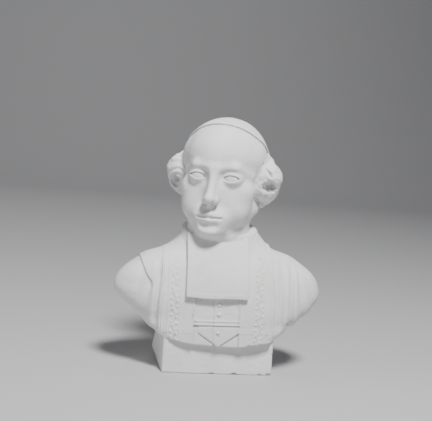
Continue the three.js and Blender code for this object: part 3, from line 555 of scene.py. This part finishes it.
def hair(p, q, d):
    """Wavy hair: full puffs over the ears, whose locks wind round a hollow, and short hair.

    One puff hangs a little lower, with a narrower hollow; the other has a groove above its own.
    """
    is_low = p[0] < 0
    s = np.array([q[0], q[1], q[2] + np.where(is_low, HAIR_DROP, 0)])
    puff = ellipsoid(s, (47.5, 1, 2.5), (18, 17, 17.5))
    puff = join(puff, ellipsoid(s, (41, 12, 16.5), (11.5, 14, 12)), 8)
    puff = join(puff, ellipsoid(s, (47, 8, -13), (14.5, 14, 11.5)), 8)
    puff = join(puff, ellipsoid(q, (42, -5, -9), (8, 9, 11)), 6)
    frizz = waver(p, 13, 11)
    winding = np.hypot(q[0] - 50, q[2] + 8) - 0.4 * q[1] + 1.2 * frizz
    strands = 0.45 * np.cos(2 * math.pi * winding / 6.5) + 0.2 * np.cos(3.1 * winding + 1)
    puff = puff - strands * np.where(is_low, 1, 0.6) - 0.22 * waver(p, 4, 13)
    low_hollow = ellipsoid(q, (52.5, -12, -12.5), (6.5, 12, 7.5))
    high_hollow = ellipsoid(q, (55.5, -13, -7), (8, 13, 6.5))
    hollow = np.where(is_low, low_hollow, high_hollow) - 0.9 * waver(p, 6, 12)
    puff = carve(puff, hollow, 3)
    shell = ellipsoid(q, (0, 12, 10), (47.5, 48.5, 46))
    back = meet(shell, 6 - 0.25 * q[2] - q[1], 4)
    turn = np.arctan2(q[1] - 12, p[0])
    back = back - 0.9 * np.cos(14 * turn + 1.3 * np.sin(p[2] / 5)) * np.cos(p[2] / 9)
    back = back - 0.3 * np.cos(52 * turn + 3 * np.sin(p[2] / 6) + 1.5 * frizz)
    back = meet(back, -42 - q[2], 5)
    whole = join(join(join(d, temple(q), 9), back, 3), puff, 4)
    groove = limb(q, (45, -12.4, 17.5), (55, -13.6, 5.5), 1.3, 2.1)
    return np.where(is_low, whole, carve(whole, groove, 0.9))


def curls(q, d):
    """Small curls that trail down behind the jaw, each wound like a snail."""
    for i, centre in enumerate(CURLS):
        curl = ellipsoid(q, centre, (7.5 - 0.6 * i, 7.5, 4.8 - 0.2 * i))
        u = q[1] - centre[1]
        v = q[2] - centre[2]
        winding = np.hypot(u, 1.4 * v) + 0.55 * np.arctan2(v, u)
        d = join(d, curl - 0.4 * np.cos(2 * math.pi * winding / 3.45), 1.8)
    return d


def cap(q):
    """The skull cap: the skull and the hair under it, a little thicker, cut along its edge."""
    f = q / FACE_SCALE
    bare = join(FACE_SCALE * face_ground(f), cranium(q), 9)
    covered = join(bare, temple(q), 9)
    crown = join(covered, ellipsoid(q, (0, 12, 10), (47.5, 48.5, 46)), 3)
    tilt = math.radians(CAP_TILT)
    above = q[2] * math.cos(tilt) + q[1] * math.sin(tilt) - CAP_EDGE
    hem = 0.3 * (1 - smoothstep(5, 7, above))
    return meet(meet(crown, -20 - q[2], 3) - CAP_THICKNESS - hem, -above, 0.9)


def head(p):
    q = np.array([np.abs(p[0]), p[1], p[2]])
    f = q / FACE_SCALE
    face = FACE_SCALE * lips(f, nose(f, eye(f, brow(f, face_ground(f)))))
    bare = join(join(face, cranium(q), 9), neck(q), 9)
    d = join(hair(p, q, curls(q, ear(q, bare))), cap(q), 0.4)
    return meet(d, NECK_END - p[2], 1)


# Places and sizes of the chips along the block's front edge, and of those along the rim.
BLOCK_CHIPS = (
    (-5.5, -40, 0, 3.2), (19, -40, 0, 4), (48, -40, 0, 3.4), (58, -40, 1, 3.6), (-12, -40.4, 7, 1.5),
    (-61, -20, 0, 3), (61.5, 12, 0, 3.4), (30, 40, 0, 3.6), (-34, -40.2, 19, 1.1), (61, -39, 24, 1.6),
)
RIM_CHIPS = ((-21, -46, 31.4, 2.2), (33, -47, 32.4, 2.4), (46, -45, 34, 1.9), (8, -48, 31, 1.6))


def block(p):
    """The plain block, worn at its edges: the lower edge of one end is rounded off behind."""
    x, y, z = p
    rough = 0.25 * waver(p, 30, 5)
    sides = meet(np.abs(x) - BLOCK_WIDTH / 2, np.abs(y) - BLOCK_DEPTH / 2, BLOCK_ROUND) + 0.3 + rough
    end = smoothstep(-20, 40, y) * smoothstep(-15, -55, x)
    sides = sides - 2.2 * end * bump(z, 11, 12)
    worn = 1.5 + 9 * end
    d = meet(meet(sides, -z, worn), z - BLOCK_TOP, 1)
    for cx, cy, cz, size in BLOCK_CHIPS:
        d = carve(d, ellipsoid(p, (cx, cy, cz), (size, 0.7 * size, 0.55 * size)), 0.5)
    return d


def bust(p):
    """The figure alone, in its own frame."""
    d = np.full(p.shape[1], 50.0)
    low = p[2] < 176
    high = p[2] > HEAD_CENTRE[2] + NECK_END - 8
    d[low] = clothes(p[:, low])
    for cx, cy, cz, size in RIM_CHIPS:
        d[low] = carve(d[low], ellipsoid(p[:, low], (cx, cy, cz), (size, size, 0.7 * size)), 0.6)
    d[high] = join(d[high], head(turned(p[:, high], HEAD_CENTRE, HEAD_ROTATION)), 1.0)
    return d


def cast(p):
    """The whole cast, with the slight unevenness of plaster."""
    d = np.full(p.shape[1], 50.0)
    upper = p[2] > 26
    lower = p[2] < 60
    d[upper] = bust(turned(p[:, upper], BUST_SHIFT, BUST_ROTATION))
    d[lower] = join(d[lower], block(p[:, lower]), 1.2)
    return np.maximum(d + 0.06 * waver(p, 7, 21) + 0.04 * waver(p, 3.2, 22), -p[2])


def in_portions(field, p, portion=150000):
    """A field at many points, a portion at a time."""
    parts = [field(p[:, i:i + portion]) for i in range(0, p.shape[1], portion)]
    return np.concatenate(parts)


def sample(field, low, high):
    """The field on a fine lattice, worked out near the surface and only signed elsewhere."""
    side = STEP * BLOCK_OF_STEPS
    counts = np.ceil((high - low) / side).astype(int)
    blocks = np.indices(counts).reshape(3, -1)
    middles = (blocks + 0.5) * side + low[:, None] - STEP / 2
    rough = in_portions(field, middles)
    value = rough.reshape(counts).astype(np.float32)
    for axis in range(3):
        value = np.repeat(value, BLOCK_OF_STEPS, axis)
    near = blocks[:, np.abs(rough) < 0.87 * side + EXACT_WITHIN]
    for offset in np.ndindex((BLOCK_OF_STEPS,) * 3):
        at = near * BLOCK_OF_STEPS + np.array(offset)[:, None]
        value[tuple(at)] = in_portions(field, at * STEP + low[:, None])
    return value


def hangs_together(chosen):
    """Whether the chosen corners of a cell, one bit each, hang together along its edges."""
    seen = chosen & -chosen
    before = 0
    while before != seen:
        before = seen
        for n in range(8):
            if seen >> n & 1:
                for bit in (1, 2, 4):
                    seen |= chosen & (1 << (n ^ bit))
    return seen == chosen


def corner_slices(shape):
    """For each corner of a cell, the part of the lattice that holds that corner of each cell."""
    return [
        tuple(slice(n >> axis & 1, size - 1 + (n >> axis & 1)) for axis, size in enumerate(shape))
        for n in range(8)
    ]


def close_pinches(value):
    """Fills lattice points where the form would touch itself along a mere edge or at a point."""
    pinched = np.array([not (hangs_together(n) and hangs_together(255 - n)) for n in range(256)])
    corners = corner_slices(value.shape)
    while True:
        pattern = np.zeros([size - 1 for size in value.shape], np.uint8)
        for n, part in enumerate(corners):
            pattern |= (value[part] < 0).astype(np.uint8) << n
        cells = np.argwhere(pinched[pattern])
        if not len(cells):
            return pattern
        for cell in cells:
            around = [tuple(cell[axis] + (n >> axis & 1) for axis in range(3)) for n in range(8)]
            outside = [at for at in around if value[at] >= 0]
            if outside:
                value[min(outside, key=lambda at: value[at])] = -0.001


def slide(field, points, low_corner):
    """Points moved along the field's slope on to its surface, each kept in its own cell."""
    reach = 0.04
    low = low_corner + 0.04 * STEP
    high = low_corner + 0.96 * STEP
    for _ in range(2):
        here = in_portions(field, points)
        slope = np.empty_like(points)
        for axis in range(3):
            beside = points.copy()
            beside[axis] += reach
            slope[axis] = (in_portions(field, beside) - here) / reach
        steep = np.maximum((slope ** 2).sum(0), 1e-3)
        points = np.clip(points - 0.9 * here * slope / steep, low, high)
    return points


def sculpt(field, low, high):
    """The surface where a field is zero, as vertices and quads: one vertex in each cell of the
    lattice that the surface crosses, and one quad round each lattice edge that it crosses."""
    value = sample(field, low, high)
    pattern = close_pinches(value)
    cells = np.argwhere((pattern > 0) & (pattern < 255)).T
    corner = [value[tuple(cells[axis] + (n >> axis & 1) for axis in range(3))] for n in range(8)]
    total = np.zeros(cells.shape)
    crossings = np.zeros(cells.shape[1])
    for n in range(8):
        for axis in range(3):
            if n >> axis & 1:
                continue
            a, b = corner[n], corner[n | 1 << axis]
            crossed = (a < 0) != (b < 0)
            t = np.where(crossed, a / np.where(crossed, a - b, 1), 0)
            crossings += crossed
            for other in range(3):
                total[other] += crossed * (t if other == axis else n >> other & 1)
    low_corner = cells * STEP + low[:, None]
    points = low_corner + STEP * total / crossings
    points = slide(field, points, low_corner)
    vertex_of = np.full(value.shape, -1, np.int32)
    vertex_of[tuple(cells)] = np.arange(cells.shape[1])
    inside = value < 0
    quads = []
    for axis in range(3):
        first, second = (axis + 1) % 3, (axis + 2) % 3
        ahead = tuple(slice(1, None) if n == axis else slice(None) for n in range(3))
        behind = tuple(slice(None, -1) if n == axis else slice(None) for n in range(3))
        at = np.argwhere(inside[ahead] != inside[behind]).T
        around = []
        for a, b in ((1, 1), (0, 1), (0, 0), (1, 0)):
            cell = at.copy()
            cell[first] -= a
            cell[second] -= b
            around.append(vertex_of[tuple(cell)])
        ring = np.array(around)
        outward = inside[tuple(at)]
        quads.append(np.where(outward, ring, ring[::-1]).T)
    return points, np.concatenate(quads)


def new_mesh(name, points, faces):
    """A mesh in metres from points in millimetres and quads."""
    mesh = bpy.data.meshes.new(name)
    mesh.vertices.add(points.shape[1])
    mesh.vertices.foreach_set("co", (points.T * MM).ravel())
    mesh.loops.add(faces.size)
    mesh.loops.foreach_set("vertex_index", faces.ravel())
    mesh.polygons.add(len(faces))
    mesh.polygons.foreach_set("loop_start", np.arange(0, faces.size, faces.shape[1]))
    mesh.update(calc_edges=True)
    return mesh


def thinned(mesh, triangles):
    """The mesh with its flatter stretches in larger triangles, shaded smooth."""
    rough = bpy.data.objects.new("rough", mesh)
    bpy.context.scene.collection.objects.link(rough)
    thin = rough.modifiers.new("thin", "DECIMATE")
    thin.ratio = triangles / (2 * len(mesh.polygons))
    thin.use_collapse_triangulate = True
    evaluated = rough.evaluated_get(bpy.context.evaluated_depsgraph_get())
    kept = bpy.data.meshes.new_from_object(evaluated)
    kept.name = "plaster_bust"
    bpy.data.objects.remove(rough)
    bpy.data.meshes.remove(mesh)
    kept.shade_smooth()
    return kept


def make_bust():
    low = np.array(solid_bounds[0]) / MM - 2
    high = np.array(solid_bounds[1]) / MM + 2
    points, quads = sculpt(cast, low, high)
    mesh = thinned(new_mesh("fine", points, quads), TRIANGLES)
    mesh.materials.append(plaster_material())
    piece = bpy.data.objects.new("plaster_bust", mesh)
    bpy.context.scene.collection.objects.link(piece)
    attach(piece, "root")
    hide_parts("bust")


def add_node(tree, kind, inputs=None, **settings):
    """A shader node with its settings and its inputs' values or links."""
    node = tree.nodes.new(kind)
    for name, setting in settings.items():
        setattr(node, name, setting)
    for name, given in (inputs or {}).items():
        if isinstance(given, bpy.types.NodeSocket):
            tree.links.new(given, node.inputs[name])
        else:
            node.inputs[name].default_value = given
    return node


def ramp(tree, factor, stops):
    """A colour ramp through (position, grey or colour) stops."""
    node = add_node(tree, "ShaderNodeValToRGB", {"Fac": factor})
    while len(node.color_ramp.elements) < len(stops):
        node.color_ramp.elements.new(0.5)
    for element, (position, colour) in zip(node.color_ramp.elements, stops):
        element.position = position
        element.color = (*colour, 1)
    return node.outputs["Color"]


def plaster_material():
    """Dry white plaster: cloudy, darker in its hollows (partly dust, partly painted shade), with fine
    pores and grain.
    """
    material = bpy.data.materials.new("plaster")
    material.use_nodes = True
    tree = material.node_tree
    shader = tree.nodes["Principled BSDF"]
    place = add_node(tree, "ShaderNodeTexCoord").outputs["Object"]
    clouds = add_node(
        tree, "ShaderNodeTexNoise", {"Vector": place, "Scale": 28.0, "Detail": 6.0, "Roughness": 0.6},
    ).outputs["Fac"]
    cloudy = ramp(tree, clouds, ((0.3, (0.66, 0.66, 0.65)), (0.7, (0.76, 0.76, 0.755))))
    relief = add_node(tree, "ShaderNodeNewGeometry").outputs["Pointiness"]
    # Painted shade and dust: where Pointiness is low, in hollows and creases, the colour is darkened
    # to about half, standing partly for dust and partly for the shade that falls there.
    dust_and_painted_shade = ramp(tree, relief, ((0.42, (0.5, 0.495, 0.48)), (0.49, (1.0, 1.0, 1.0))))
    colour = add_node(
        tree, "ShaderNodeMix", {"Factor": 1.0, "A": cloudy, "B": dust_and_painted_shade}, data_type="RGBA",
        blend_type="MULTIPLY",
    )
    tree.links.new(colour.outputs["Result"], shader.inputs["Base Color"])
    grain = add_node(
        tree, "ShaderNodeTexNoise", {"Vector": place, "Scale": 900.0, "Detail": 3.0},
    ).outputs["Fac"]
    pores = add_node(
        tree, "ShaderNodeTexVoronoi", {"Vector": place, "Scale": 420.0, "Randomness": 1.0},
    ).outputs["Distance"]
    pits = ramp(tree, pores, ((0.06, (0, 0, 0)), (0.16, (1, 1, 1))))
    fine = add_node(
        tree, "ShaderNodeBump", {"Height": grain, "Strength": 0.25, "Distance": 0.0002},
    ).outputs["Normal"]
    pitted = add_node(
        tree, "ShaderNodeBump", {"Height": pits, "Strength": 0.2, "Distance": 0.0002, "Normal": fine},
    ).outputs["Normal"]
    tree.links.new(pitted, shader.inputs["Normal"])
    rough = add_node(
        tree, "ShaderNodeMapRange", {"Value": clouds, "To Min": 0.72, "To Max": 0.9},
    ).outputs["Result"]
    tree.links.new(rough, shader.inputs["Roughness"])
    shader.inputs["Specular IOR Level"].default_value = 0.25
    return material


def floor_material():
    material = bpy.data.materials.new("floor")
    material.use_nodes = True
    shader = material.node_tree.nodes["Principled BSDF"]
    shader.inputs["Base Color"].default_value = (0.45, 0.45, 0.46, 1)
    shader.inputs["Roughness"].default_value = 0.9
    return material


def make_floor():
    """A plain pale floor that sweeps up behind into a wall, larger than the view."""
    angles = [i * math.pi / 32 for i in range(17)]
    curve = [
        (SWEEP_START + SWEEP_RADIUS * math.sin(a), SWEEP_RADIUS * (1 - math.cos(a))) for a in angles
    ]
    line = [(FLOOR_FRONT, 0.0), *curve, (SWEEP_START + SWEEP_RADIUS, WALL_HEIGHT)]
    vertices = [(x, y, z) for y, z in line for x in (-FLOOR_HALF_WIDTH, FLOOR_HALF_WIDTH)]
    faces = [(2 * i, 2 * i + 1, 2 * i + 3, 2 * i + 2) for i in range(len(line) - 1)]
    mesh = bpy.data.meshes.new("floor")
    mesh.from_pydata(vertices, [], faces)
    mesh.shade_smooth()
    mesh.materials.append(floor_material())
    floor = bpy.data.objects.new("floor", mesh)
    bpy.context.scene.collection.objects.link(floor)


def add_light(name, at, towards, size, power):
    """A square soft light that faces a point."""
    lamp = bpy.data.lights.new(name, "AREA")
    lamp.size = size
    lamp.energy = power
    light = bpy.data.objects.new(name, lamp)
    light.location = at
    light.rotation_euler = (Vector(towards) - Vector(at)).to_track_quat("-Z", "Y").to_euler()
    bpy.context.scene.collection.objects.link(light)


def make_lights():
    """Soft studio light: a key from above in front, a weak fill from one side, a light on the wall
    behind, and a dim pale room."""
    chest = (0, 0, 0.14)
    add_light("key", (0.12, -0.95, 1.5), chest, 0.35, 54)
    add_light("fill", (-1.4, -0.3, 0.3), chest, 1.0, 6)
    add_light("wall", (0, 1.2, 2.6), (0, 3.5, 0.6), 1.5, 30)
    world = bpy.data.worlds.new("room")
    world.use_nodes = True
    background = world.node_tree.nodes["Background"]
    background.inputs["Color"].default_value = (0.8, 0.81, 0.83, 1)
    background.inputs["Strength"].default_value = 0.07
    bpy.context.scene.world = world


def make_camera():
    """The camera at the photograph's place and angle, with its slight roll."""
    azimuth, pitch, roll = (math.radians(v) for v in (CAMERA_AZIMUTH, CAMERA_PITCH, CAMERA_ROLL))
    level_ahead = Vector((-math.sin(azimuth), math.cos(azimuth), 0))
    ahead = level_ahead * math.cos(pitch) - Vector((0, 0, math.sin(pitch)))
    level = Vector((math.cos(azimuth), math.sin(azimuth), 0))
    upright = level.cross(ahead)
    right = level * math.cos(roll) + upright * math.sin(roll)
    up = upright * math.cos(roll) - level * math.sin(roll)
    data = bpy.data.cameras.new("camera")
    data.lens = CAMERA_LENS
    data.sensor_width = 36
    camera = bpy.data.objects.new("camera", data)
    matrix = Matrix((right, up, -ahead)).transposed().to_4x4()
    matrix.translation = CAMERA_AT
    camera.matrix_world = matrix
    bpy.context.scene.collection.objects.link(camera)
    bpy.context.scene.camera = camera


make_camera()
make_lights()
make_floor()
make_bust()
